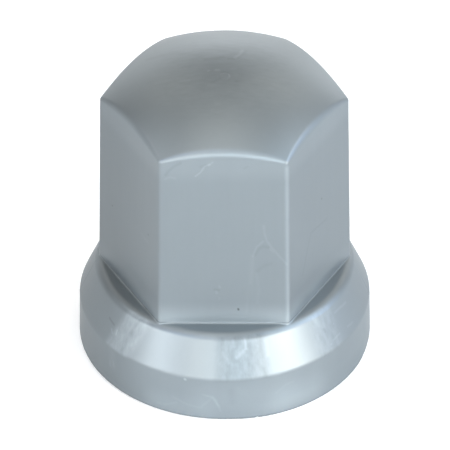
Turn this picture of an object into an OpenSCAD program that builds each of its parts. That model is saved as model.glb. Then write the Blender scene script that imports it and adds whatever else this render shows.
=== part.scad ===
// Push-on plastic cover cap for a hexagonal wheel nut with a round captive washer.
// The rim stands on z = 0, the axis is Z and the tower's corners point along X.

/* [Nut that the cap covers] */
// Width across the flats of the nut
nut_af = 33; // [30:0.5:36]
// Height of the nut's top face above the rim
nut_top_h = 33; // [28:0.5:38]
// Diameter of the nut's captive washer
washer_d = 46; // [45:0.5:50]

/* [Fits] */
// Gap between the nut's flat and the socket's flat, at the nut's top
nut_clearance = 0.15; // [0.05:0.05:0.4]
// Gap between the washer's edge and the skirt's bore
washer_clearance = 0.2; // [0.1:0.05:0.5]

/* [Skirt] */
// Wall of the skirt at the rim
band_wall = 1.8; // [1.4:0.1:2.6]
// Height of the nearly upright band round the foot
band_h = 8.3; // [6:0.1:10]
// Lean of the band from upright, in degrees
band_draft = 2.1; // [0.5:0.1:4]
// Height of the flat shoulder that the tower stands on
shoulder_h = 15.25; // [13:0.25:18]
// Width of the shoulder outside the tower's sharp corners
shoulder_margin = 0.2; // [0.1:0.05:0.8]
// Wall of the sloping part, square to its face
cone_wall = 1.7; // [1.4:0.1:2.2]
// Thickness of the flat shoulder
shoulder_wall = 1.7; // [1.4:0.1:2.2]
// Chamfer inside the rim that leads the washer in
mouth_chamfer = 0.5; // [0.2:0.1:1]

/* [Tower] */
// Height of the whole cap
cap_h = 53.8; // [50:0.2:58]
// Wall of the tower at the shoulder
tower_wall = 1.55; // [1.4:0.05:2.2]
// Lean of the tower's flats, in degrees
tower_draft = 1.6; // [0.8:0.1:1.8]
// Radius of the domed crown
crown_r = 34.6; // [32:0.2:40]
// Wall of the crown
crown_wall = 1.6; // [1.4:0.1:2.4]

/* [Socket] */
// Lean of the socket's flats, in degrees
socket_draft = 0.8; // [0.5:0.1:1.2]
// Width of a grip rib
rib_w = 1.2; // [0.8:0.1:1.6]
// Height of a grip rib above the socket's flat
rib_proud = 0.35; // [0.2:0.05:0.5]
// Distance between the two ribs of a flat
rib_spacing = 9; // [6:0.5:12]
// Length over which a rib rises out of the wall
rib_ramp = 3; // [2:0.5:5]
// Length of a rib above the nut's top
rib_above_nut = 1.5; // [0.5:0.5:4]

/* [Rounded edges] */
// Edge between the crown and a flat
crown_edge_r = 1; // [0.6:0.1:1.6]
// Upright edge between two flats
corner_edge_r = 0.75; // [0.5:0.05:1.2]
// Edge between the shoulder and the sloping part
shoulder_edge_r = 1.8; // [1:0.1:2.4]
// Edge between the sloping part and the band
band_edge_r = 1.8; // [1:0.1:3]
// Outer edge of the rim
rim_edge_r = 0.3; // [0.2:0.05:0.6]

/* [Hidden] */
$fn = 144;

sides = 6;
side_angle = 360 / sides;
corner_per_apothem = 1 / cos(side_angle / 2);

// Each rounding is cut this far outside its exact place, so that the cutter
// crosses the faces that it blends and doesn't only touch them.
blend_lap = 0.004;
// Cutters and cores run this far past the surface that they open.
past = 1;

// Skirt, as radius and height
bore_r = washer_d / 2 + washer_clearance;
rim_r = bore_r + band_wall;
band_top_r = rim_r - band_h * tan(band_draft);
shoulder_r = tower_apothem(shoulder_h) * corner_per_apothem + shoulder_margin;
under_h = shoulder_h - shoulder_wall;
rim_edge = [rim_r, 0];
band_edge = [band_top_r, band_h];
shoulder_edge = [shoulder_r, shoulder_h];
cone_out = unit([shoulder_h - band_h, band_top_r - shoulder_r]);
bore_top_h = cone_inside_h(bore_r);
under_r = cone_inside_r(under_h);

// Crown, as the centre of its two spheres
crown_h = cap_h - crown_r;
crown_inside_r = crown_r - crown_wall;

// The tower runs down into the skirt as far as the shoulder's rounded edge needs.
tower_foot_h = shoulder_h - shoulder_edge_r / 2;

// Ribs start just above the mouth of the socket and bite into its wall.
rib_foot_h = under_h + past / 2;
rib_top_h = nut_top_h + rib_above_nut;
rib_bite = tower_wall / 4;

function unit(v) = v / norm(v);

// Distance from the axis to the tower's flats and to the socket's flats at height z
function tower_apothem(z) =
    socket_apothem(shoulder_h) + tower_wall - (z - shoulder_h) * tan(tower_draft);
function socket_apothem(z) =
    nut_af / 2 + nut_clearance - (z - nut_top_h) * tan(socket_draft);

// The inside of the sloping part lies one wall inside the line through its two edges.
function cone_inside_h(r) =
    band_edge[1] - (cone_wall + (r - band_edge[0]) * cone_out[0]) / cone_out[1];
function cone_inside_r(z) =
    band_edge[0] - (cone_wall + (z - band_edge[1]) * cone_out[1]) / cone_out[0];

// Flat shape that rounds off a corner: what lies between the line from touch_a
// to touch_b and the corner, outside the circle that touches both sides there.
module rounding_profile(touch_a, touch_b, corner, centre, r) {
    out = unit(corner - centre);
    difference() {
        polygon([touch_a, touch_a + out * r, touch_b + out * r, touch_b]);
        translate(centre + out * blend_lap)
            circle(r = r);
    }
}

// The same for a corner between two straight sides that run towards a and c
module straight_rounding(a, corner, c, r) {
    to_a = unit(a - corner);
    to_c = unit(c - corner);
    half_angle = acos(to_a * to_c) / 2;
    touch = r / tan(half_angle);
    centre = corner + unit(to_a + to_c) * r / sin(half_angle);
    rounding_profile(corner + to_a * touch, corner + to_c * touch, corner, centre, r);
}

// Slab between two opposite flats that lean inwards, seen along X
module leaning_slab(low, low_apothem, high, high_apothem) {
    rotate([90, 0, 90])
        linear_extrude(height = 4 * low_apothem, center = true)
            polygon([
                [-low_apothem, low], [low_apothem, low],
                [high_apothem, high], [-high_apothem, high]
            ]);
}

module hexagonal_taper(low, low_apothem, high, high_apothem) {
    intersection_for (turn = [0 : side_angle : 180 - side_angle])
        rotate([0, 0, turn])
            leaning_slab(low, low_apothem, high, high_apothem);
}

// A flat cuts the crown's sphere in a circle, so its rounded edge is a ring
// about the line through the sphere's centre, square to the leaning flat.
module crown_edge_cutter() {
    flat = tower_apothem(crown_h) * cos(tower_draft);
    ring_h = flat - crown_edge_r;
    ring_r = sqrt(pow(crown_r - crown_edge_r, 2) - pow(ring_h, 2));
    centre = [ring_r, ring_h];
    translate([0, 0, crown_h])
        rotate([0, 90 - tower_draft, side_angle / 2])
            rotate_extrude()
                rounding_profile(
                    [ring_r, flat],
                    centre * crown_r / (crown_r - crown_edge_r),
                    [sqrt(pow(crown_r, 2) - pow(flat, 2)), flat],
                    centre,
                    crown_edge_r
                );
}

// The upright edge leans with its two flats, and the rounding follows it.
module upright_edge_cutter() {
    lean = atan(tan(tower_draft) * corner_per_apothem);
    between_flats = 180 - acos(pow(cos(tower_draft), 2) * cos(side_angle) + pow(sin(tower_draft), 2));
    side = [-cos(between_flats / 2), sin(between_flats / 2)];
    translate([tower_apothem(tower_foot_h) * corner_per_apothem, 0, tower_foot_h])
        rotate([0, -lean, 0])
            translate([0, 0, -past])
                linear_extrude(height = cap_h - tower_foot_h)
                    straight_rounding(side, [0, 0], [side[0], -side[1]], corner_edge_r);
}

module tower_core() {
    intersection() {
        hexagonal_taper(
            tower_foot_h, tower_apothem(tower_foot_h),
            cap_h + past, tower_apothem(cap_h + past)
        );
        translate([0, 0, crown_h])
            sphere(r = crown_r);
    }
}

// Rounds the two edges of one side, then turns the tower to the next side.
// The last turn brings the tower back to where it began.
module round_sides(count) {
    if (count == 0)
        children();
    else
        rotate([0, 0, side_angle])
            difference() {
                round_sides(count - 1)
                    children();
                crown_edge_cutter();
                upright_edge_cutter();
            }
}

module tower_outside() {
    round_sides(sides)
        tower_core();
}

module skirt_outside() {
    rotate_extrude()
        difference() {
            polygon([[0, 0], rim_edge, band_edge, shoulder_edge, [0, shoulder_h]]);
            straight_rounding([0, 0], rim_edge, band_edge, rim_edge_r);
            straight_rounding(rim_edge, band_edge, shoulder_edge, band_edge_r);
            straight_rounding(band_edge, shoulder_edge, [0, shoulder_h], shoulder_edge_r);
        }
}

// Straight bore for the washer, then a cone up to the underside of the shoulder
module skirt_inside() {
    rotate_extrude()
        polygon([
            [0, -mouth_chamfer], [bore_r + 2 * mouth_chamfer, -mouth_chamfer],
            [bore_r, mouth_chamfer], [bore_r, bore_top_h],
            [under_r, under_h], [0, under_h]
        ]);
}

module socket_inside() {
    intersection() {
        hexagonal_taper(
            under_h - past, socket_apothem(under_h - past),
            cap_h, socket_apothem(cap_h)
        );
        translate([0, 0, crown_h])
            sphere(r = crown_inside_r);
    }
}

// One rib on the flat that faces +Y. It ramps up out of the wall at the mouth.
module grip_rib() {
    full_h = rib_foot_h + rib_ramp;
    rotate([90, 0, 90])
        linear_extrude(height = rib_w, center = true)
            polygon([
                [socket_apothem(rib_foot_h) + rib_bite, rib_foot_h],
                [socket_apothem(full_h) - rib_proud, full_h],
                [socket_apothem(rib_top_h) - rib_proud, rib_top_h],
                [socket_apothem(rib_top_h) + rib_bite, rib_top_h]
            ]);
}

module grip_ribs() {
    for (turn = [0 : side_angle : 360 - side_angle])
        for (place = [-1, 1])
            rotate([0, 0, turn])
                translate([place * rib_spacing / 2, 0, 0])
                    grip_rib();
}

module nut_cap() {
    color([0.63, 0.68, 0.71]) {
        difference() {
            union() {
                tower_outside();
                skirt_outside();
            }
            skirt_inside();
            socket_inside();
        }
        grip_ribs();
    }
}

nut_cap();
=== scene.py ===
import math

import bmesh
import bpy
from mathutils import Matrix, Vector, noise


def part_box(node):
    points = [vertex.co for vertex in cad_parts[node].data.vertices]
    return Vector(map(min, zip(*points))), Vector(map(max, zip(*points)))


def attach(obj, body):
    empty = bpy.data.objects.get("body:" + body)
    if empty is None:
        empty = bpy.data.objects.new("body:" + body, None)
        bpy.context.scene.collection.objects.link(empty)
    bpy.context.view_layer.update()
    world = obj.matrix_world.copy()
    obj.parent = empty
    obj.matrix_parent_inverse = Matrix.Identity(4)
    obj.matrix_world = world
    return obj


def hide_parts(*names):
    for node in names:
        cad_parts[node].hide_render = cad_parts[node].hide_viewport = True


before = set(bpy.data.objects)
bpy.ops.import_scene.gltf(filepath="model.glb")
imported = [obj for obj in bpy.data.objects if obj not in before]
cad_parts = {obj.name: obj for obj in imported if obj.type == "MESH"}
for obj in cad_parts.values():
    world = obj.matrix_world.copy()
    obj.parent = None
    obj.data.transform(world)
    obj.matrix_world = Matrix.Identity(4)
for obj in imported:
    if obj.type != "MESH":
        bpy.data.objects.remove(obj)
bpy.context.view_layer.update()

# Lengths are in millimetres up to the finished mesh, which is in metres.
MM = 0.001
NODE = "nut_cap"
BODY = "root"

# The whole cap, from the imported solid
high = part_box(NODE)[1]
CAP_H = high.z / MM
RIM_R = high.x / MM

# Skirt
BAND_H = 8.3
BAND_TOP_R = 24.696
SHOULDER_H = 15.25
SHOULDER_R = 21.502
RIM_EDGE_R = 0.3
BAND_EDGE_R = 1.8
SHOULDER_EDGE_R = 1.8
BORE_R = 23.2
BORE_TOP_H = 7.48
MOUTH_CHAMFER = 0.5
UNDER_H = 13.55
UNDER_R = 20.41
UNDER_EDGE_W = 0.08
UNDER_EDGE_H = 0.12

# Tower
SIDES = 6
FIRST_FLAT = 30
TOWER_APOTHEM = 18.448
TOWER_LEAN = math.radians(1.6)
CORNER_R = 0.75
CROWN_R = 34.6
CROWN_H = CAP_H - CROWN_R
CROWN_EDGE_R = 1.6
FOOT_R = 0.3

# Socket
SOCKET_APOTHEM = 16.9216
SOCKET_LEAN = math.radians(0.8)
CROWN_INSIDE_R = 33.0
RIB_SPACING = 9
RIB_W = 1.2
RIB_TOP_W = 1.0
RIB_PROUD = 0.35
RIB_FOOT_H = 14.05
RIB_RAMP_H = 17.05
RIB_TOP_H = 34.5
RIB_END = 0.12
RIB_SIDE_ROOM = 0.01

# Marks of the moulding
GATE = Vector((0.07, -2.93))
GATE_R = 0.85
GATE_DISC_H = 0.02
GATE_EDGE_OUT, GATE_EDGE_IN = 0.02, 0.08
GATE_GROOVE_DEPTH = 0.012
GATE_GROOVE_R = 1.02
GATE_GROOVE_W = 0.13
SEAM_AZIMUTHS = (182.1, 356.9)

# The halvings and rounds after which a place that is searched for no longer moves
HALVINGS = 40
FOOT_ROUNDS = 12

CENTRE = Vector((0, 0, CROWN_H))
UP = Vector((0, 0, 1))


def polar(radius, azimuth, height):
    angle = math.radians(azimuth)
    return Vector((radius * math.cos(angle), radius * math.sin(angle), height))


def azimuth_of(point):
    return math.degrees(math.atan2(point.y, point.x)) % 360


def spread(first, last, count):
    """count + 1 numbers from first to last, evenly spaced."""
    return [first + (last - first) * i / count for i in range(count + 1)]


def turned(a, b, share):
    """Unit vector at that share of the turn from unit vector a to unit vector b."""
    angle = a.angle(b)
    if angle < 1e-6:
        return a.copy()
    return (a * math.sin((1 - share) * angle) + b * math.sin(share * angle)) / math.sin(angle)


def ease(edge_a, edge_b, value):
    """0 at edge_a, 1 at edge_b and smooth in between."""
    share = min(1, max(0, (value - edge_a) / (edge_b - edge_a)))
    return share * share * (3 - 2 * share)


# Columns of the outside: each runs down one line of the tower and on over the skirt

SIDE_ANGLE = 360 / SIDES
FLATS = [FIRST_FLAT + SIDE_ANGLE * i for i in range(SIDES)]
CORNER_STEPS = 8
FLAT_SHARES = [-0.96, -0.88, -0.78, -0.67, -0.55, -0.42, -0.28, -0.14]
FLAT_SHARES += [0] + [-share for share in reversed(FLAT_SHARES)]
FRONT = 270
FRONT_SHARES = spread(-0.98, 0.98, 120)
SEAM_STEPS = [-0.6, -0.4, -0.25, -0.12, 0, 0.12, 0.25, 0.4, 0.6]
SEAM_ROOM = 0.02


def flat_normal(azimuth):
    return polar(math.cos(TOWER_LEAN), azimuth, math.sin(TOWER_LEAN))


def core_point(column, height):
    """Point inside the tower, one corner radius in from its flat or on the axis of its corner."""
    apothem = TOWER_APOTHEM - (height - SHOULDER_H) * math.tan(TOWER_LEAN)
    inset = apothem - CORNER_R / math.cos(TOWER_LEAN)
    across = column["share"] * inset * math.tan(math.radians(SIDE_ANGLE / 2))
    return polar(inset, column["flat"], height) + polar(across, column["flat"] + 90, 0)


def tower_point(column, height, out=0.0):
    return core_point(column, height) + column["normal"] * (CORNER_R + out)


def share_at(azimuth, flat):
    """Place across a flat of the column that meets the shoulder at that azimuth."""
    across = math.tan(math.radians(azimuth - flat)) / math.tan(math.radians(SIDE_ANGLE / 2))
    return across * (TOWER_APOTHEM + FOOT_R) / (TOWER_APOTHEM - CORNER_R)


def flat_shares(flat):
    """Places of the columns across a flat: closer at the front, and beside a seam of the skirt."""
    shares = FRONT_SHARES if flat == FRONT else FLAT_SHARES
    for seam_azimuth in SEAM_AZIMUTHS:
        if abs(seam_azimuth - flat) < SIDE_ANGLE / 2:
            beside = [share_at(seam_azimuth + step, flat) for step in SEAM_STEPS]
            first, last = beside[0] - SEAM_ROOM, beside[-1] + SEAM_ROOM
            shares = sorted([share for share in shares if not first < share < last] + beside)
    return shares


def tower_columns():
    columns = []
    for flat in FLATS:
        normal = flat_normal(flat)
        for share in flat_shares(flat):
            columns.append({"flat": flat, "share": share, "normal": normal})
        next_normal = flat_normal(flat + SIDE_ANGLE)
        for step in range(CORNER_STEPS + 1):
            turn = turned(normal, next_normal, step / CORNER_STEPS)
            columns.append({"flat": flat, "share": 1, "normal": turn})
    return columns


# The crown's edge, its dome and the mark of the gate

FLANK_SHARES = [0, 0.008, 0.03] + spread(0.07, 0.93, 26) + [0.97, 0.99, 1]
CROWN_EDGE_STEPS = 9
# How late the crown's edge narrows to the corner's radius
CROWN_EDGE_POWER = 3
DOME_SHARES = [0.985, 0.96] + [1 - i / 30 for i in range(2, 27)]
POLE_RINGS = [3.2, 2.4, 1.8, 1.4, 1.15, 1.0, 0.9, 0.84, 0.78, 0.6, 0.35, 0.15]


def crown_ball(column):
    """Centre and radius of the ball that touches the column's flank and the dome."""
    radius = CROWN_EDGE_R + (CORNER_R - CROWN_EDGE_R) * abs(column["share"]) ** CROWN_EDGE_POWER
    under, over = SHOULDER_H, CAP_H
    for _ in range(HALVINGS):
        middle = (under + over) / 2
        centre = tower_point(column, middle, -radius)
        if (centre - CENTRE).length < CROWN_R - radius:
            under = middle
        else:
            over = middle
    return centre, radius


def on_dome(flat_place, lift=0.0):
    height = math.sqrt(CROWN_R**2 - flat_place.length_squared)
    return CENTRE + Vector((flat_place.x, flat_place.y, height)) * (1 + lift / CROWN_R)


def gate_lift(distance):
    """Height of the gate's trimmed stub: a shallow groove round a low disc."""
    groove = math.exp(-(((distance - GATE_GROOVE_R) / GATE_GROOVE_W) ** 2))
    disc = ease(GATE_R + GATE_EDGE_OUT, GATE_R - GATE_EDGE_IN, distance)
    return GATE_DISC_H * disc - GATE_GROOVE_DEPTH * groove


def dome_points(edge):
    """Points from the dome's edge to the gate, for one column."""
    outward = Vector((edge.x, edge.y)) - GATE
    points = [on_dome(GATE + outward * share) for share in DOME_SHARES]
    for ring in POLE_RINGS:
        points.append(on_dome(GATE + outward.normalized() * ring, gate_lift(ring)))
    return points


# Section of the skirt, from the shoulder to the rim

CONE_DOWN = (Vector((BAND_TOP_R, BAND_H)) - Vector((SHOULDER_R, SHOULDER_H))).normalized()
BAND_DOWN = (Vector((RIM_R, 0)) - Vector((BAND_TOP_R, BAND_H))).normalized()
CONE_LEAN = math.atan2(-CONE_DOWN.y, CONE_DOWN.x)
BAND_LEAN = math.atan2(-BAND_DOWN.y, BAND_DOWN.x)
SHOULDER_TOUCH = SHOULDER_EDGE_R * math.tan(CONE_LEAN / 2)
LEDGE_END_R = SHOULDER_R - SHOULDER_TOUCH
SHOULDER_BALL_H = SHOULDER_H - SHOULDER_EDGE_R
BAND_TOUCH = BAND_EDGE_R * math.tan((BAND_LEAN - CONE_LEAN) / 2)
RIM_TOUCH = RIM_EDGE_R * math.tan((math.pi - BAND_LEAN) / 2)
ZIP_R = 24.15

SHOULDER_STEPS = 16
CONE_SHARES = [0, 0.03] + spread(0.08, 0.94, 20) + [0.98, 1]
BAND_EDGE_STEPS = 6
BAND_SHARES = [0.02, 0.06] + spread(0.12, 0.9, 20) + [0.95, 0.98, 1]
RIM_STEPS = 5


def foot_ball(column):
    """Centre of the ball in the hollow edge between flank and shoulder, and the shoulder's slope there."""
    height = SHOULDER_H
    for _ in range(FOOT_ROUNDS):
        centre = tower_point(column, height, FOOT_R)
        past_ledge = max(0, Vector((centre.x, centre.y)).length - LEDGE_END_R)
        reach = SHOULDER_EDGE_R + FOOT_R
        height += SHOULDER_BALL_H + math.sqrt(reach**2 - past_ledge**2) - centre.z
    slope = math.asin(past_ledge / reach)
    return centre, slope


def arc_point(ball, radius, lean):
    """Point of a rounding where its surface has leaned over by that much."""
    return Vector((ball.x + radius * math.sin(lean), ball.y + radius * math.cos(lean)))


def shoulder_section(foot_r, slope):
    """Points from the hollow edge over the ledge and its rounding, by length along them."""
    ball = Vector((LEDGE_END_R, SHOULDER_BALL_H))
    ledge = max(0, LEDGE_END_R - foot_r)
    total = ledge + SHOULDER_EDGE_R * (CONE_LEAN - slope)
    points = []
    for along in spread(0, total, SHOULDER_STEPS):
        if along < ledge:
            points.append(Vector((foot_r + along, SHOULDER_H)))
        else:
            lean = slope + (along - ledge) / SHOULDER_EDGE_R
            points.append(arc_point(ball, SHOULDER_EDGE_R, lean))
    return points


def lower_section():
    """Points of the cone, the band and the rim, the same for every column."""
    shoulder_edge = Vector((SHOULDER_R, SHOULDER_H))
    band_edge = Vector((BAND_TOP_R, BAND_H))
    rim_edge = Vector((RIM_R, 0))
    cone_start = shoulder_edge + CONE_DOWN * SHOULDER_TOUCH
    cone_end = band_edge - CONE_DOWN * BAND_TOUCH
    points = [cone_start.lerp(cone_end, share) for share in CONE_SHARES[1:]]
    band_in = Vector((math.sin(CONE_LEAN), math.cos(CONE_LEAN))) * BAND_EDGE_R
    for lean in spread(CONE_LEAN, BAND_LEAN, BAND_EDGE_STEPS)[1:]:
        points.append(arc_point(cone_end - band_in, BAND_EDGE_R, lean))
    band_start = band_edge + BAND_DOWN * BAND_TOUCH
    band_end = rim_edge - BAND_DOWN * RIM_TOUCH
    points += [band_start.lerp(band_end, share) for share in BAND_SHARES]
    rim_in = Vector((math.sin(BAND_LEAN), math.cos(BAND_LEAN))) * RIM_EDGE_R
    for lean in spread(BAND_LEAN, math.pi, RIM_STEPS)[1:]:
        points.append(arc_point(band_end - rim_in, RIM_EDGE_R, lean))
    points.append(Vector((ZIP_R, 0)))
    return points


LOWER_SECTION = lower_section()
FOOT_STEPS = 4


def outside_column(column):
    """All points of one column, from the gate down to the underside of the rim."""
    centre, radius = crown_ball(column)
    normal = column["normal"]
    dome_normal = (centre - CENTRE).normalized()
    points = dome_points(centre + dome_normal * radius)[::-1]
    for share in spread(1, 0, CROWN_EDGE_STEPS):
        points.append(centre + turned(normal, dome_normal, share) * radius)
    crown_touch = points[-1]
    foot, slope = foot_ball(column)
    foot_touch = foot - normal * FOOT_R
    points += [crown_touch.lerp(foot_touch, share) for share in FLANK_SHARES[1:]]
    shoulder_normal = polar(math.sin(slope), azimuth_of(foot), math.cos(slope))
    for share in spread(0, 1, FOOT_STEPS)[1:]:
        points.append(foot - turned(normal, shoulder_normal, share) * FOOT_R)
    ledge = points[-1]
    azimuth = azimuth_of(ledge)
    foot_r = Vector((ledge.x, ledge.y)).length
    section = shoulder_section(foot_r, slope)[1:] + LOWER_SECTION
    points += [polar(point.x, azimuth, point.y) for point in section]
    return points


# Faults of the moulding that the surface carries

RIM_LIFT = 0.12
RIM_LOWEST_AZIMUTH = 305
RIM_WORN_H = 0.7
# Heights of the rim's unevenness, and how many lumps it has a radian of turn
RIM_WAVE_H, RIM_WAVES = 0.03, 9
RIM_ROUGH_H, RIM_ROUGH_LUMPS = 0.02, 60
TEAR_H, TEAR_LUMPS = 0.09, 130
# Azimuths of the flash, the notch and the torn stretch, and the degrees in which they begin and end
FLASH_FROM, FLASH_TO = 275.8, 281.6
FLASH_BEGIN, FLASH_END = 0.5, 0.4
NOTCH_AZIMUTH = 282.8
NOTCH_W = 0.4
NOTCH_H = 0.22
TEAR_FROM, TEAR_TO = 283.5, 298
TEAR_BEGIN, TEAR_END = 0.4, 3
PRESS_FROM, PRESS_TO = 270, 350
PRESS_FADE = 20
PRESS_OUT = 0.2
PRESS_H = 3.5
WAVE_SIZE = 5.5
WAVE_HEIGHT = 0.02
WAVE_FADE_FOOT, WAVE_FADE_TOP = 3, 4
SEAM_W = 0.1
SEAM_HEIGHT = 0.035
SEAM_FROM_H, SEAM_TO_H = BAND_H - 1, SHOULDER_H - 0.3
SEAM_FULL_FROM_H, SEAM_FULL_TO_H = BAND_H, SHOULDER_H - 1


def stretch(azimuth, first, last, begin, end):
    """1 between two azimuths and 0 outside them, with soft ends that many degrees long."""
    return ease(first, first + begin, azimuth) * ease(last, last - end, azimuth)


def rim_lift(azimuth):
    """Height of the rim's ragged edge above the floor."""
    around = polar(1, azimuth, 0)
    low_side = math.cos(math.radians((azimuth - RIM_LOWEST_AZIMUTH) / 2)) ** 2
    lift = RIM_LIFT * (1 - low_side)
    lift += RIM_WAVE_H * noise.noise(around * RIM_WAVES)
    lift += RIM_ROUGH_H * noise.noise(around * RIM_ROUGH_LUMPS)
    lift -= RIM_LIFT * stretch(azimuth, FLASH_FROM, FLASH_TO, FLASH_BEGIN, FLASH_END)
    torn = stretch(azimuth, TEAR_FROM, TEAR_TO, TEAR_BEGIN, TEAR_END)
    lift += torn * TEAR_H * noise.noise(around * TEAR_LUMPS)
    lift += NOTCH_H * math.exp(-(((azimuth - NOTCH_AZIMUTH) / NOTCH_W) ** 2))
    return max(0, lift)


def rim_press(azimuth):
    """How far the rim is pressed outward at the front's right."""
    return PRESS_OUT * stretch(azimuth, PRESS_FROM, PRESS_TO, PRESS_FADE, PRESS_FADE)


def shape_rim(point):
    """Presses the skirt's foot outward and lifts the rim."""
    if point.z > PRESS_H:
        return
    azimuth = azimuth_of(point)
    outward = polar(ease(PRESS_H, 0, point.z) * rim_press(azimuth), azimuth, 0)
    point.x += outward.x
    point.y += outward.y
    point.z += ease(RIM_WORN_H, 0, point.z) * rim_lift(azimuth)


def wave(point):
    """Faint unevenness of the moulded surface, none at the apex and the rim."""
    room = ease(0, WAVE_FADE_FOOT, point.z) * ease(CAP_H, CAP_H - WAVE_FADE_TOP, point.z)
    return WAVE_HEIGHT * room * noise.noise(point / WAVE_SIZE)


def seam(point):
    """Fine ridge where the two halves of the mould met round the skirt."""
    if not SEAM_FROM_H < point.z < SEAM_TO_H:
        return 0
    reach = Vector((point.x, point.y)).length
    away = min(abs(azimuth_of(point) - place) for place in SEAM_AZIMUTHS)
    across = math.radians(away) * reach
    ends = ease(SEAM_FROM_H, SEAM_FULL_FROM_H, point.z) * ease(SEAM_TO_H, SEAM_FULL_TO_H, point.z)
    return SEAM_HEIGHT * ends * math.exp(-((across / SEAM_W) ** 2))


# Inside: a round bore and cone under the shoulder, then the hexagonal socket with its ribs

RIB_EDGES = [RIB_SPACING / 2 + side * width / 2 for side, width in
             ((-1, RIB_W), (-1, RIB_TOP_W), (1, RIB_TOP_W), (1, RIB_W))]
INSIDE_PLACES = [1.3, 2.6] + RIB_EDGES + [6.2, 7.3, 8.4]
INSIDE_HEIGHTS = [RIB_FOOT_H, 15, 16, RIB_RAMP_H] + spread(20, 33, 5) + [RIB_TOP_H, RIB_TOP_H + RIB_END]
INSIDE_HEIGHTS += [37, 39.5, 42]
INSIDE_DOME_STEPS = 9


def inside_columns():
    """Places along each flat of the socket: the flat's azimuth and the distance from its middle."""
    places = [-place for place in reversed(INSIDE_PLACES)] + [0] + INSIDE_PLACES
    columns = []
    for flat in FLATS:
        columns += [(flat, place) for place in places] + [(flat, None)]
    return columns


def rib_height(place, height):
    """How far the socket's face stands proud of its flat."""
    from_middle = abs(abs(place) - RIB_SPACING / 2)
    if from_middle > RIB_TOP_W / 2 + RIB_SIDE_ROOM:
        return 0
    ramp = min(1, max(0, (height - RIB_FOOT_H) / (RIB_RAMP_H - RIB_FOOT_H)))
    end = min(1, max(0, (RIB_TOP_H + RIB_END - height) / RIB_END))
    return RIB_PROUD * ramp * end


def socket_point(column, height):
    flat, place = column
    apothem = SOCKET_APOTHEM - (height - UNDER_H) * math.tan(SOCKET_LEAN)
    if place is None:
        return polar(apothem / math.cos(math.radians(SIDE_ANGLE / 2)), flat + SIDE_ANGLE / 2, height)
    inner = apothem - rib_height(place, height)
    return polar(inner, flat, height) + polar(place, flat + 90, 0)


def socket_top(column):
    """Where a line of the socket meets the inside of the crown."""
    under, over = SHOULDER_H, CAP_H
    for _ in range(HALVINGS):
        middle = (under + over) / 2
        if (socket_point(column, middle) - CENTRE).length < CROWN_INSIDE_R:
            under = middle
        else:
            over = middle
    return socket_point(column, middle)


def inside_column(column):
    """All points of one column, from the rim's mouth up to the middle of the crown."""
    mouth = socket_point(column, UNDER_H)
    azimuth = azimuth_of(mouth)
    section = [
        (BORE_R + MOUTH_CHAMFER, RIM_LIFT),
        (BORE_R, MOUTH_CHAMFER),
        (BORE_R, BORE_TOP_H / 2),
        (BORE_R, BORE_TOP_H),
        (UNDER_R + UNDER_EDGE_W, UNDER_H - UNDER_EDGE_H),
        (UNDER_R - UNDER_EDGE_W, UNDER_H),
    ]
    points = [polar(reach, azimuth, height) for reach, height in section]
    points += [points[-1].lerp(mouth, 0.5), mouth]
    points += [socket_point(column, height) for height in INSIDE_HEIGHTS]
    top = socket_top(column)
    for share in spread(1, 0, INSIDE_DOME_STEPS)[:-1]:
        flat_place = Vector((top.x, top.y)) * share
        height = math.sqrt(CROWN_INSIDE_R**2 - flat_place.length_squared)
        points.append(CENTRE + Vector((flat_place.x, flat_place.y, height)))
    return points


# The mesh

SHARP_ANGLE = math.radians(32)
# Columns that meet in one point, as at the tower's corners, share one vertex.
SAME_POINT = 1e-4


def add_columns(mesh, columns):
    """Vertices of each column, and the faces between one column and the next."""
    sheet = [[mesh.verts.new(point) for point in points] for points in columns]
    for one, other in zip(sheet, sheet[1:] + sheet[:1]):
        for i in range(len(one) - 1):
            mesh.faces.new((one[i], one[i + 1], other[i + 1], other[i]))
    return sheet


def close_with_fan(mesh, ring, middle):
    apex = mesh.verts.new(middle)
    for one, other in zip(ring, ring[1:] + ring[:1]):
        mesh.faces.new((one, other, apex))


def zip_rings(mesh, ring_a, ring_b):
    """Triangles between two rings round the axis that have different numbers of vertices."""
    rings = [sorted(ring, key=lambda vertex: azimuth_of(vertex.co)) for ring in (ring_a, ring_b)]
    count_a, count_b = len(rings[0]), len(rings[1])
    a = b = 0
    while a < count_a or b < count_b:
        here_a, here_b = rings[0][a % count_a], rings[1][b % count_b]
        next_a, next_b = rings[0][(a + 1) % count_a], rings[1][(b + 1) % count_b]
        turn_a = azimuth_of(next_a.co) + 360 * ((a + 1) // count_a)
        turn_b = azimuth_of(next_b.co) + 360 * ((b + 1) // count_b)
        if b >= count_b or (a < count_a and turn_a <= turn_b):
            mesh.faces.new((here_a, here_b, next_a))
            a += 1
        else:
            mesh.faces.new((here_a, here_b, next_b))
            b += 1


def outside_points():
    columns = [outside_column(column) for column in tower_columns()]
    for points in columns:
        for point in points:
            shape_rim(point)
    return columns


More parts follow.
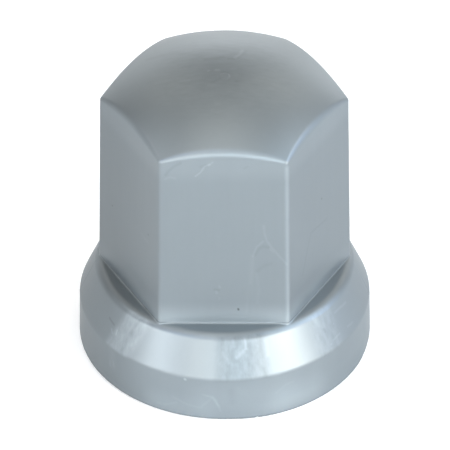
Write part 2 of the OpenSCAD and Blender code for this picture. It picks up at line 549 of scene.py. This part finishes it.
def make_cap():
    mesh = bmesh.new()
    outside = add_columns(mesh, outside_points())
    close_with_fan(mesh, [column[0] for column in outside], on_dome(GATE, gate_lift(0)))
    inside = add_columns(mesh, [inside_column(column) for column in inside_columns()])
    close_with_fan(mesh, [column[-1] for column in inside], CENTRE + UP * CROWN_INSIDE_R)
    zip_rings(mesh, [column[-1] for column in outside], [column[0] for column in inside])
    bmesh.ops.remove_doubles(mesh, verts=mesh.verts, dist=SAME_POINT)
    bmesh.ops.recalc_face_normals(mesh, faces=mesh.faces)
    if mesh.calc_volume(signed=True) < 0:
        bmesh.ops.reverse_faces(mesh, faces=mesh.faces)
    mesh.normal_update()
    for vertex in mesh.verts:
        if vertex.co.z > SEAM_FROM_H:
            vertex.co += vertex.normal * (wave(vertex.co) + seam(vertex.co))
    bmesh.ops.scale(mesh, vec=(MM, MM, MM), verts=mesh.verts)
    data = bpy.data.meshes.new(NODE)
    mesh.to_mesh(data)
    mesh.free()
    data.shade_smooth()
    data.set_sharp_from_angle(angle=SHARP_ANGLE)
    cap = bpy.data.objects.new("cap_shell", data)
    bpy.context.scene.collection.objects.link(cap)
    return cap


# Materials

TO_MM = 1 / MM
WHITE = (1, 1, 1, 1)
FINE_DETAIL = 3.0
# Sockets of a Mix node that mixes colours, where several have the same name
MIX_FACTOR, MIX_A, MIX_B = 0, 6, 7
MIX_RESULT = 2


def new_material(name):
    material = bpy.data.materials.new(name)
    material.use_nodes = True
    return material, material.node_tree


def feed(tree, socket, value):
    """Links an output to a socket, or sets a plain value on it."""
    if isinstance(value, bpy.types.NodeSocket):
        tree.links.new(value, socket)
    else:
        socket.default_value = value


def math_node(tree, operation, *values):
    node = tree.nodes.new("ShaderNodeMath")
    node.operation = operation
    for socket, value in zip(node.inputs, values):
        feed(tree, socket, value)
    return node.outputs["Value"]


def vector_node(tree, operation, *values):
    node = tree.nodes.new("ShaderNodeVectorMath")
    node.operation = operation
    for socket, value in zip(node.inputs, values):
        feed(tree, socket, value)
    return node.outputs["Value" if operation in ("DISTANCE", "DOT_PRODUCT") else "Vector"]


def scaled(tree, vector, factor):
    node = tree.nodes.new("ShaderNodeVectorMath")
    node.operation = "SCALE"
    feed(tree, node.inputs["Vector"], vector)
    feed(tree, node.inputs["Scale"], factor)
    return node.outputs["Vector"]


def eased(tree, value, from_value, to_value, from_result=0.0, to_result=1.0):
    """Smooth step of a value between two results."""
    node = tree.nodes.new("ShaderNodeMapRange")
    node.interpolation_type = "SMOOTHSTEP"
    feed(tree, node.inputs["Value"], value)
    feed(tree, node.inputs["From Min"], from_value)
    feed(tree, node.inputs["From Max"], to_value)
    feed(tree, node.inputs["To Min"], from_result)
    feed(tree, node.inputs["To Max"], to_result)
    return node.outputs["Result"]


def noise_node(tree, place, size, detail=2.0):
    """Noise between -0.5 and 0.5 whose lumps are about that many millimetres across."""
    node = tree.nodes.new("ShaderNodeTexNoise")
    feed(tree, node.inputs["Vector"], place)
    node.inputs["Scale"].default_value = 1 / size
    node.inputs["Detail"].default_value = detail
    return math_node(tree, "SUBTRACT", node.outputs["Fac"], 0.5)


def place_in_mm(tree):
    coordinates = tree.nodes.new("ShaderNodeTexCoord")
    return scaled(tree, coordinates.outputs["Object"], TO_MM)


# Marks on the surface, and a few painted highlights. Each has a width, a strength (above 0 lighter, below
# 0 darker) and the places
# that it runs through: across and height on a flat, x and y on the dome, azimuth and height on the skirt.

SWIRL = 0.075
FLAT_MARKS_AND_HIGHLIGHTS = (
    (270, 0.28, 0.14, ((-4.4, 44.6), (-3.6, 45.4), (-3.0, 46.5), (-2.2, 46.9))),
    (270, 0.3, 0.1, ((-2.3, 46.7), (-1.7, 47.3))),
    (270, 0.4, 0.06, ((-9.2, 44.0), (-8.4, 44.4), (-7.6, 44.2))),
    (270, 0.45, -0.08, ((-9.1, 44.8), (-8.7, 45.5), (-7.7, 46.5), (-6.8, 47.1))),
    (270, 0.5, -0.06, ((-3.5, 46.5), (-2.8, 46.7))),
    (270, 0.3, -0.05, ((3.2, 46.1), (3.8, 46.5))),
    (270, 0.38, SWIRL, ((6.4, 34.9), (6.6, 33.3), (6.9, 32.1), (7.7, 30.7), (8.7, 29.3), (10.2, 27.3))),
    (270, 0.35, SWIRL, ((6.3, 31.9), (5.3, 30.7), (4.7, 28.9))),
    (270, 0.5, -0.06, ((5.0, 29.1), (5.6, 30.3), (6.3, 30.9), (7.2, 30.7))),
    (270, 0.3, 0.05, ((7.4, 30.5), (8.0, 29.7))),
    (270, 0.6, -0.04, ((5.5, 25.9), (6.3, 26.9), (7.6, 27.5))),
    (270, 0.6, 0.04, ((4.7, 28.9), (4.5, 25.0), (4.1, 20.0), (3.9, 17.5))),
    (270, 0.5, -0.04, ((4.3, 23.0), (4.2, 20.0), (4.1, 17.5))),
    (270, 0.5, 0.03, ((5.3, 25.5), (5.7, 22.6), (5.5, 19.5))),
    (270, 0.4, 0.09, ((-1.2, 21.8), (-1.1, 21.5))),
    (270, 0.35, 0.07, ((-0.7, 22.9), (-0.6, 22.6))),
    (270, 0.4, -0.08, ((-1.5, 22.2), (-0.8, 22.1))),
    (270, 0.3, 0.05, ((-0.7, 20.5), (-0.7, 20.2))),
    (270, 0.28, -0.8, ((2.35, 18.25), (2.4, 18.1))),
    (330, 0.4, -0.05, ((-5.8, 22.1), (-4.4, 25.5), (-3.0, 28.7), (2.4, 28.2))),
    (330, 0.25, -0.3, ((0.7, 33.3), (0.75, 33.25))),
    (210, 0.25, -0.3, ((-5.7, 28.6), (-5.65, 28.55))),
    (210, 0.25, -0.25, ((6.8, 30.8), (6.85, 30.75))),
    (210, 0.6, 0.03, ((4.4, 29.5), (6.5, 29.2))),
    # Painted highlight along the upright edge at the front's right, where its rounding catches the lamps
    (270, 0.8, 0.2, ((10.6, 15.6), (10.15, 46.0))),
)
DOME_MARKS = (
    (0.7, 0.06, ((-3.1, 2.7), (-1.4, 3.5), (0.7, 3.8))),
    (0.7, -0.06, ((-3.0, 2.0), (-1.4, 2.2), (-0.3, 2.5))),
    (0.5, -0.09, ((0.7, 1.9), (1.5, 1.9))),
    (0.45, 0.1, ((1.7, 2.5), (2.5, 3.6), (2.9, 5.1))),
    (0.45, -0.05, ((2.2, 2.3), (3.1, 3.5), (3.5, 5.0))),
    (0.35, 0.12, ((-2.55, -1.5), (-2.45, -1.4))),
    (0.5, 0.13, ((-1.3, -1.35), (-0.9, -1.35))),
    (0.5, 0.05, ((1.4, -1.0), (1.7, -1.0))),
    (0.4, -0.09, ((-0.3, -1.9), (0.1, -1.85), (0.6, -2.1))),
    (0.5, -0.05, ((-1.8, -4.4), (-1.0, -3.7), (-0.3, -3.4))),
    (0.5, -0.07, ((1.9, -4.1), (2.1, -4.1))),
    (0.5, 0.05, ((-2.5, -5.0), (-0.6, -5.1))),
    (0.5, 0.05, ((-7.0, -3.3), (-5.7, -3.3))),
    (0.9, -0.04, ((-12.3, 5.8), (-8.6, 5.8), (-5.3, 4.2), (-3.0, 2.3))),
)
SKIRT_MARKS_AND_HIGHLIGHTS = (
    (0.35, 0.5, ((255.1, 7.85), (255.3, 7.8))),
    (0.4, 0.05, ((243.8, 1.4), (247.2, 1.6), (251.7, 2.6))),
    (0.4, 0.05, ((250.5, 3.6), (255.3, 2.7), (261.2, 2.3), (265.8, 4.8), (268.4, 2.7))),
    (0.35, 0.07, ((262.3, 5.1), (265.8, 4.6), (268.0, 3.0), (268.8, 1.9))),
    # Where the flow met at the left
    (1.0, -0.16, ((228.0, 11.6), (227.0, 10.3), (226.4, 8.9))),
    (0.45, -0.14, ((230.3, 14.4), (229.0, 13.0), (228.1, 12.0))),
    (1.2, -0.1, ((232.5, 13.8), (230.2, 12.2))),
    (0.3, -0.14, ((214.3, 11.9), (218.2, 11.5))),
    (0.3, 0.2, ((220.8, 11.1), (220.9, 10.4))),
    (0.3, 0.16, ((217.6, 10.7), (218.8, 10.2))),
    (0.3, 0.08, ((219.7, 4.9), (220.1, 4.0))),
    (0.3, 0.08, ((221.9, 5.4), (222.4, 4.4))),
    # At the front
    (0.45, 0.22, ((279.1, 14.4), (279.3, 13.0))),
    (0.6, 0.16, ((278.2, 12.7), (275.5, 11.8))),
    (0.5, 0.12, ((269.8, 12.6), (271.9, 10.9))),
    (0.5, 0.1, ((274.1, 14.3), (274.7, 13.6))),
    (0.6, 0.12, ((288.1, 13.8), (288.3, 11.6))),
    (0.7, -0.07, ((281.0, 13.5), (280.2, 9.0))),
    (0.6, -0.08, ((275.9, 14.1), (275.6, 13.3))),
    (0.8, -0.07, ((272.8, 12.6), (274.0, 11.2))),
    (1.2, -0.05, ((273.0, 5.9), (273.4, 3.8))),
    (1.2, 0.03, ((275.7, 6.4), (277.9, 5.6))),
    (0.4, 0.05, ((263.8, 5.0), (265.7, 4.9), (267.1, 4.1), (267.8, 3.1))),
    (0.4, 0.04, ((290.6, 4.5), (294.3, 5.6), (297.6, 5.8))),
    # At the right
    (0.5, 0.1, ((312.3, 14.4), (313.8, 12.9))),
    (0.8, 0.08, ((313.6, 14.2), (316.0, 12.6))),
    (0.4, 0.1, ((324.8, 13.1), (329.5, 13.1), (333.7, 12.9))),
    (0.3, -0.12, ((316.0, 12.1), (316.3, 11.5))),
    (0.35, 0.12, ((319.1, 9.6), (323.2, 9.8))),
    (0.35, 0.08, ((329.0, 9.7), (332.7, 9.5))),
    (0.25, 0.1, ((321.9, 11.8), (322.2, 11.7))),
    (0.3, 0.09, ((317.0, 9.2), (317.4, 9.2))),
    (0.35, 0.06, ((356.8, 14.6), (354.6, 9.3))),
    # Broad lighter patches of the band: painted highlights where the band catches the lamps, and below the
    # left weld a lighter tone of the plastic
    (3.5, 0.1, ((243.0, 1.8), (262.0, 1.8))),
    (4.5, 0.13, ((293.0, 2.5), (306.0, 3.0))),
    (5.0, 0.1, ((264.0, 4.5), (294.0, 4.5))),
    (1.5, 0.05, ((221.0, 7.5), (221.5, 4.5))),
)


def on_flat(flat, across, height):
    apothem = TOWER_APOTHEM - (height - SHOULDER_H) * math.tan(TOWER_LEAN)
    return polar(apothem, flat, height) + polar(across, flat + 90, 0)


def on_skirt(azimuth, height):
    if height > BAND_H:
        along = (height - BAND_H) / (SHOULDER_H - BAND_H)
        return polar(BAND_TOP_R + along * (SHOULDER_R - BAND_TOP_R), azimuth, height)
    return polar(RIM_R + height / BAND_H * (BAND_TOP_R - RIM_R), azimuth, height)


def all_marks_and_highlights():
    """Width, strength and points of every mark and painted highlight."""
    marks = []
    for flat, width, strength, places in FLAT_MARKS_AND_HIGHLIGHTS:
        marks.append((width, strength, [on_flat(flat, *place) for place in places]))
    for width, strength, places in DOME_MARKS:
        marks.append((width, strength, [on_dome(Vector(place)) for place in places]))
    for width, strength, places in SKIRT_MARKS_AND_HIGHLIGHTS:
        marks.append((width, strength, [on_skirt(*place) for place in places]))
    return marks


def stroke_group():
    """Node group: 1 on the line from Start along Along, and 0 from Width away from it."""
    group = bpy.data.node_groups.new("stroke", "ShaderNodeTree")
    sides = group.interface
    for name in ("Place", "Start", "Along"):
        sides.new_socket(name=name, in_out="INPUT", socket_type="NodeSocketVector")
    for name in ("Per Length Squared", "Width"):
        sides.new_socket(name=name, in_out="INPUT", socket_type="NodeSocketFloat")
    sides.new_socket(name="Mask", in_out="OUTPUT", socket_type="NodeSocketFloat")
    inputs = group.nodes.new("NodeGroupInput").outputs
    from_start = vector_node(group, "SUBTRACT", inputs["Place"], inputs["Start"])
    along = vector_node(group, "DOT_PRODUCT", from_start, inputs["Along"])
    share = math_node(group, "MULTIPLY", along, inputs["Per Length Squared"])
    share = math_node(group, "MAXIMUM", math_node(group, "MINIMUM", share, 1), 0)
    nearest = scaled(group, inputs["Along"], share)
    away = vector_node(group, "DISTANCE", from_start, nearest)
    mask = eased(group, away, inputs["Width"], 0.0)
    group.links.new(mask, group.nodes.new("NodeGroupOutput").inputs["Mask"])
    return group


def stroke(tree, group, place, width, start, end):
    node = tree.nodes.new("ShaderNodeGroup")
    node.node_tree = group
    along = end - start
    feed(tree, node.inputs["Place"], place)
    node.inputs["Start"].default_value = start
    node.inputs["Along"].default_value = along
    node.inputs["Per Length Squared"].default_value = 1 / along.length_squared
    node.inputs["Width"].default_value = width
    return node.outputs["Mask"]


def marks_and_highlights_shade(tree, place):
    """Sum of all marks and painted highlights: how much lighter or darker each makes the plastic."""
    group = stroke_group()
    total = 0.0
    for width, strength, points in all_marks_and_highlights():
        mask = None
        for start, end in zip(points, points[1:]):
            part = stroke(tree, group, place, width, start, end)
            mask = part if mask is None else math_node(tree, "MAXIMUM", mask, part)
        total = math_node(tree, "MULTIPLY_ADD", mask, strength, total)
    return total


# Zones of the sloping part where the flow of the plastic met. Each has its middle's azimuth at the
# middle height, half its width and the softness of its edge in degrees, the degrees that it leans a
# millimetre of height, how much lighter or darker it is, and how strong its streaks are.

WELDS = (
    (226.5, 4.0, 4.5, 0.9, 0.26, 0.5),
    (277.5, 8.0, 4.5, 0.0, -0.17, 0.38),
    (316.5, 4.5, 4.0, 0.0, 0.07, 0.3),
)
WELD_FOOT_H = 8.1
WELD_MIDDLE_H = 11.5
WELD_TOP_H = 15.2
WELD_END = 0.5
WELD_STREAK_W = 0.7
WELD_STREAK_LENGTH = 6.0


def azimuth_node(tree, parts):
    """Azimuth in degrees, which runs from 90 at the back over 270 at the front to 450."""
    back_y = math_node(tree, "MULTIPLY", parts.outputs["Y"], -1)
    turn = math_node(tree, "ARCTAN2", parts.outputs["X"], back_y)
    return math_node(tree, "MULTIPLY_ADD", turn, math.degrees(1), FRONT)


def welds_shade(tree, place):
    """How much lighter or darker the weld zones make the sloping part."""
    parts = tree.nodes.new("ShaderNodeSeparateXYZ")
    feed(tree, parts.inputs["Vector"], place)
    height = parts.outputs["Z"]
    above = eased(tree, height, WELD_FOOT_H - WELD_END, WELD_FOOT_H + WELD_END)
    below = eased(tree, height, WELD_TOP_H, WELD_TOP_H - WELD_END)
    on_slope = math_node(tree, "MULTIPLY", above, below)
    azimuth = azimuth_node(tree, parts)
    drop = math_node(tree, "SUBTRACT", height, WELD_MIDDLE_H)
    squeezed = vector_node(tree, "MULTIPLY", place, (1, 1, WELD_STREAK_W / WELD_STREAK_LENGTH))
    streaks = noise_node(tree, squeezed, WELD_STREAK_W, FINE_DETAIL)
    total = 0.0
    for middle, half_width, softness, lean, strength, streak in WELDS:
        here = math_node(tree, "MULTIPLY_ADD", drop, lean, middle)
        away = math_node(tree, "ABSOLUTE", math_node(tree, "SUBTRACT", azimuth, here))
        mask = eased(tree, away, half_width + softness, half_width)
        change = math_node(tree, "MULTIPLY_ADD", streaks, streak, strength)
        total = math_node(tree, "MULTIPLY_ADD", mask, change, total)
    return math_node(tree, "MULTIPLY", total, on_slope)


# Painted light and shade, standing in for how the lamps fall: painted light on the tower just above the
# shoulder and on the skirt's front, and painted shade on the tower's flats, along the foot line, as a
# shadow along the rim and at the cap's left.

# Painted light on the tower's foot, standing in for the shoulder's reflection
FOOT_PAINTED_LIGHT = 0.3
FOOT_LIGHT_FROM = 15.35
FOOT_LIGHT_FULL = 15.6
FOOT_LIGHT_TO = 20.0
FOOT_LIGHT_X = 14.0
FOOT_LIGHT_END_X = 19.5
# Painted shade over the cap's left side, which the lamps light less
LEFT_PAINTED_SHADE = -0.16
LEFT_FROM_X = -9.0
LEFT_FULL_X = -19.0
# Painted shade that dims the highlight along the foot line
FOOT_LINE_PAINTED_SHADE = -0.3
FOOT_LINE_H, FOOT_LINE_W = 15.41, 0.12
# Painted shade over the tower's flats
FLATS_PAINTED_SHADE = -0.08
FLATS_FROM_H, FLATS_FULL_H = 15.5, 20.0
FLATS_TO_H, FLATS_END_H = 43.0, 46.0
# Painted shadow along the rim, where it meets the floor
RIM_PAINTED_SHADOW = -0.3
RIM_DARK_H = 0.6
# Painted light on the skirt's front
SKIRT_PAINTED_LIGHT = 0.06
SKIRT_FROM_X, SKIRT_FULL_X = 20.0, 14.0


def foot_light(tree, height, aside):
    """1 just above the shoulder, 0 further up and towards the sides."""
    rising = eased(tree, height, FOOT_LIGHT_FROM, FOOT_LIGHT_FULL)
    falling = eased(tree, height, FOOT_LIGHT_TO, FOOT_LIGHT_FULL)
    middle = eased(tree, aside, FOOT_LIGHT_END_X, FOOT_LIGHT_X)
    return math_node(tree, "MULTIPLY", math_node(tree, "MULTIPLY", falling, rising), middle)


def foot_line(tree, height):
    """1 on the hollow edge where the tower meets the shoulder."""
    away = math_node(tree, "ABSOLUTE", math_node(tree, "SUBTRACT", height, FOOT_LINE_H))
    return eased(tree, away, FOOT_LINE_W, 0.0)


def on_flats(tree, height):
    foot = eased(tree, height, FLATS_FROM_H, FLATS_FULL_H)
    crown = eased(tree, height, FLATS_END_H, FLATS_TO_H)
    return math_node(tree, "MULTIPLY", foot, crown)


def skirt_front(tree, height, aside):
    skirt = eased(tree, height, FOOT_LIGHT_FROM, SHOULDER_H)
    front = eased(tree, aside, SKIRT_FROM_X, SKIRT_FULL_X)
    return math_node(tree, "MULTIPLY", skirt, front)


def painted_light_and_shade(tree, place):
    """Painted light and shade: broad, soft changes over the whole cap that stand in for how the lamps
    fall.
    """
    parts = tree.nodes.new("ShaderNodeSeparateXYZ")
    feed(tree, parts.inputs["Vector"], place)
    height = parts.outputs["Z"]
    aside = math_node(tree, "ABSOLUTE", parts.outputs["X"])
    # Each mask with the painted light (above 0) or painted shade (below 0) that it adds
    changes = (
        (eased(tree, parts.outputs["X"], LEFT_FROM_X, LEFT_FULL_X), LEFT_PAINTED_SHADE),
        (foot_light(tree, height, aside), FOOT_PAINTED_LIGHT),
        (foot_line(tree, height), FOOT_LINE_PAINTED_SHADE),
        (on_flats(tree, height), FLATS_PAINTED_SHADE),
        (eased(tree, height, RIM_DARK_H, 0.0), RIM_PAINTED_SHADOW),
        (skirt_front(tree, height, aside), SKIRT_PAINTED_LIGHT),
    )
    total = 0.0
    for mask, strength in changes:
        total = math_node(tree, "MULTIPLY_ADD", mask, strength, total)
    return total


# Silver plastic: a shade of 0.5 is its own colour, 0 half as light and 1 half as light again.

OWN_SHADE = 0.5
PLASTIC_DARK = (0.122, 0.138, 0.147, 1)
PLASTIC_LIGHT = (0.366, 0.414, 0.441, 1)
METALLIC = 0.85
ROUGHNESS = 0.48
MOTTLE_SIZE = 6.0
MOTTLE = 0.035
FLAKE_SIZE = 0.16
FLAKE = 0.012
STREAK_SIZE = 0.9
STREAK_LENGTH = 14.0
STREAK = 0.03
ROUGHNESS_SPREAD = 0.05
GRAIN_SIZE = 1.2
GRAIN_HEIGHT = 0.0015
GATE_STREAKS = 0.16
GATE_STREAK_W = 0.7
GATE_STREAK_LENGTH = 2.2
GATE_STREAKS_FROM_H, GATE_STREAKS_FULL_H = 50.5, 53.0
MARK_WARP_SIZE = 1.5
MARK_WARP = 0.25


def warped(tree, place):
    """Places shifted a little this way and that, so that no mark is perfectly straight."""
    node = tree.nodes.new("ShaderNodeTexNoise")
    feed(tree, node.inputs["Vector"], place)
    node.inputs["Scale"].default_value = 1 / MARK_WARP_SIZE
    shift = vector_node(tree, "SUBTRACT", node.outputs["Color"], (0.5, 0.5, 0.5))
    return vector_node(tree, "ADD", place, scaled(tree, shift, MARK_WARP))


def flake_shade(tree, place):
    node = tree.nodes.new("ShaderNodeTexVoronoi")
    feed(tree, node.inputs["Vector"], place)
    node.inputs["Scale"].default_value = 1 / FLAKE_SIZE
    parts = tree.nodes.new("ShaderNodeSeparateColor")
    feed(tree, parts.inputs["Color"], node.outputs["Color"])
    return math_node(tree, "SUBTRACT", parts.outputs["Red"], 0.5)


def streak_shade(tree, place):
    """Faint streaks that run up the tower, as the plastic flowed."""
    stretched = vector_node(tree, "MULTIPLY", place, (1, 1, STREAK_SIZE / STREAK_LENGTH))
    return noise_node(tree, stretched, STREAK_SIZE)


def gate_streaks(tree, place):
    """Short streaks round the gate, where the plastic came in."""
    parts = tree.nodes.new("ShaderNodeSeparateXYZ")
    feed(tree, parts.inputs["Vector"], place)
    near = eased(tree, parts.outputs["Z"], GATE_STREAKS_FROM_H, GATE_STREAKS_FULL_H)
    stretched = vector_node(tree, "MULTIPLY", place, (GATE_STREAK_W / GATE_STREAK_LENGTH, 1, 1))
    streaks = noise_node(tree, stretched, GATE_STREAK_W, FINE_DETAIL)
    return math_node(tree, "MULTIPLY", streaks, near)


def silver_plastic():
    material, tree = new_material("silver_plastic")
    shader = tree.nodes["Principled BSDF"]
    place = place_in_mm(tree)
    drifted = warped(tree, place)
    mottle = noise_node(tree, place, MOTTLE_SIZE, FINE_DETAIL)
    shade = math_node(tree, "ADD", marks_and_highlights_shade(tree, drifted), OWN_SHADE)
    shade = math_node(tree, "ADD", welds_shade(tree, drifted), shade)
    shade = math_node(tree, "ADD", painted_light_and_shade(tree, place), shade)
    shade = math_node(tree, "MULTIPLY_ADD", mottle, MOTTLE, shade)
    shade = math_node(tree, "MULTIPLY_ADD", flake_shade(tree, place), FLAKE, shade)
    shade = math_node(tree, "MULTIPLY_ADD", streak_shade(tree, place), STREAK, shade)
    shade = math_node(tree, "MULTIPLY_ADD", gate_streaks(tree, place), GATE_STREAKS, shade)
    colour = tree.nodes.new("ShaderNodeMix")
    colour.data_type = "RGBA"
    feed(tree, colour.inputs[MIX_FACTOR], shade)
    feed(tree, colour.inputs[MIX_A], PLASTIC_DARK)
    feed(tree, colour.inputs[MIX_B], PLASTIC_LIGHT)
    tree.links.new(colour.outputs[MIX_RESULT], shader.inputs["Base Color"])
    shader.inputs["Metallic"].default_value = METALLIC
    roughness = math_node(tree, "MULTIPLY_ADD", mottle, ROUGHNESS_SPREAD, ROUGHNESS)
    tree.links.new(roughness, shader.inputs["Roughness"])
    grain = noise_node(tree, place, GRAIN_SIZE)
    bump = tree.nodes.new("ShaderNodeBump")
    bump.inputs["Distance"].default_value = GRAIN_HEIGHT * MM
    feed(tree, bump.inputs["Height"], grain)
    tree.links.new(bump.outputs["Normal"], shader.inputs["Normal"])
    return material


# The stage: a pale floor that shows as white, and a studio with a white band round the horizon

FLOOR_R = 3.0
FLOOR_COLOUR = 0.88
FLOOR_SIDES = 96
FLOOR_ROUGHNESS = 0.9
# The floor glows more for the camera than for reflections, which would lighten the cap.
FLOOR_GLOW = 0.24
FLOOR_GLOW_REFLECTED = 0.13
FLOOR_GRAIN_SIZE = 3.0
FLOOR_GRAIN = 0.02
HORIZON_WHITE = math.sin(math.radians(6))
HORIZON_END = math.sin(math.radians(22))
STUDIO_DARK = 0.03


def floor_material():
    material, tree = new_material("floor_white")
    shader = tree.nodes["Principled BSDF"]
    grain = noise_node(tree, place_in_mm(tree), FLOOR_GRAIN_SIZE)
    value = math_node(tree, "MULTIPLY_ADD", grain, FLOOR_GRAIN, FLOOR_COLOUR)
    tree.links.new(value, shader.inputs["Base Color"])
    shader.inputs["Roughness"].default_value = FLOOR_ROUGHNESS
    path = tree.nodes.new("ShaderNodeLightPath").outputs
    reflected = math_node(tree, "MAXIMUM", path["Is Glossy Ray"], path["Is Transmission Ray"])
    reflected = math_node(tree, "MULTIPLY", reflected, FLOOR_GLOW_REFLECTED)
    seen = math_node(tree, "MULTIPLY", path["Is Camera Ray"], FLOOR_GLOW)
    glow = math_node(tree, "MAXIMUM", seen, reflected)
    shader.inputs["Emission Color"].default_value = WHITE
    tree.links.new(glow, shader.inputs["Emission Strength"])
    return material


def make_floor():
    mesh = bmesh.new()
    bmesh.ops.create_circle(mesh, cap_ends=True, segments=FLOOR_SIDES, radius=FLOOR_R)
    data = bpy.data.meshes.new("floor")
    mesh.to_mesh(data)
    mesh.free()
    floor = bpy.data.objects.new("floor", data)
    bpy.context.scene.collection.objects.link(floor)
    data.materials.append(floor_material())


def make_world():
    world = bpy.data.worlds.new("studio")
    world.use_nodes = True
    tree = world.node_tree
    coordinates = tree.nodes.new("ShaderNodeTexCoord")
    parts = tree.nodes.new("ShaderNodeSeparateXYZ")
    feed(tree, parts.inputs["Vector"], coordinates.outputs["Generated"])
    value = eased(tree, parts.outputs["Z"], HORIZON_WHITE, HORIZON_END, 1.0, STUDIO_DARK)
    tree.links.new(value, tree.nodes["Background"].inputs["Color"])
    bpy.context.scene.world = world


# Camera, as the photograph was taken

CAMERA_ELEVATION = math.radians(37.405)
CAMERA_TURN = math.radians(0.482)
CAMERA_ROLL = math.radians(-0.1215)
CAMERA_DISTANCE = 0.4744
CAMERA_TARGET = Vector((0.00008, 0, 0.02145))
CAMERA_LENS = 226.15
SENSOR_W = 36
CAMERA_NEAR = 0.01


def make_camera():
    data = bpy.data.cameras.new("camera")
    data.lens = CAMERA_LENS
    data.sensor_width = SENSOR_W
    data.clip_start = CAMERA_NEAR
    camera = bpy.data.objects.new("camera", data)
    tilt = Matrix.Rotation(math.pi / 2 - CAMERA_ELEVATION, 4, "X")
    place = Matrix.Rotation(CAMERA_TURN, 4, "Z") @ Matrix.Translation(CAMERA_TARGET) @ tilt
    roll = Matrix.Rotation(CAMERA_ROLL, 4, "Z")
    camera.matrix_world = place @ Matrix.Translation((0, 0, CAMERA_DISTANCE)) @ roll
    bpy.context.scene.collection.objects.link(camera)
    bpy.context.scene.camera = camera


# Lights: softboxes round the cap, all at one distance and aimed at its middle

AIM = Vector((0, 0, 0.025))
SOFTBOX_DISTANCE = 0.7
WARM = (0.97, 0.91, 0.82)
PLAIN = (1, 1, 1)
COOL = (0.66, 0.86, 1)
BLUE = (0.5, 0.68, 1)
# Name, azimuth (0 over the camera, 90 at the right), elevation, size in metres, watts, tint
SOFTBOXES = (
    ("key", 50, 8, 0.12, 2.3, WARM),
    ("left", -50, 8, 0.12, 1.41, PLAIN),
    ("front_left", -14.5, 11.7, 0.12, 1.08, WARM),
    ("front", 10, 8, 0.2, 0.95, COOL),
    ("front_right", 30, 8, 0.2, 1.17, PLAIN),
    ("front_left_mid", -35, 32, 0.3, 0.7, BLUE),
    ("right", 80, 24, 0.22, 1.28, BLUE),
    ("right_high", 60, 44, 0.27, 1.14, COOL),
    ("far_right_high", 95, 44, 0.27, 0.9, PLAIN),
    ("left_high", -90, 44, 0.27, 0.78, PLAIN),
    ("back_left_high", -150, 44, 0.27, 0.36, WARM),
    ("back_right_high", 150, 44, 0.27, 0.49, WARM),
    ("front_high", 0, 48, 0.3, 0.75, PLAIN),
    ("top_left", -30, 66, 0.3, 0.6, PLAIN),
    ("top", 0, 88, 0.3, 0.67, WARM),
    ("top_back", 180, 66, 0.3, 0.19, WARM),
    ("back_left", -150, 12, 0.3, 0.43, PLAIN),
    ("back_right", 150, 12, 0.3, 0.59, PLAIN),
    ("back", 180, 12, 0.3, 0.56, PLAIN),
)


def softbox(name, azimuth, elevation, size, power, tint):
    data = bpy.data.lights.new(name, "AREA")
    data.energy = power
    data.size = size
    data.color = tint
    light = bpy.data.objects.new(name, data)
    tilt = math.radians(elevation)
    back = polar(math.cos(tilt), azimuth + FRONT, math.sin(tilt))
    facing = back.to_track_quat("Z", "Y").to_matrix().to_4x4()
    light.matrix_world = Matrix.Translation(AIM + back * SOFTBOX_DISTANCE) @ facing
    bpy.context.scene.collection.objects.link(light)


cap = make_cap()
cap.data.materials.append(silver_plastic())
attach(cap, BODY)
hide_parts(NODE)
make_floor()
make_camera()
for row in SOFTBOXES:
    softbox(*row)
make_world()
bpy.context.scene.view_settings.view_transform = "Standard"
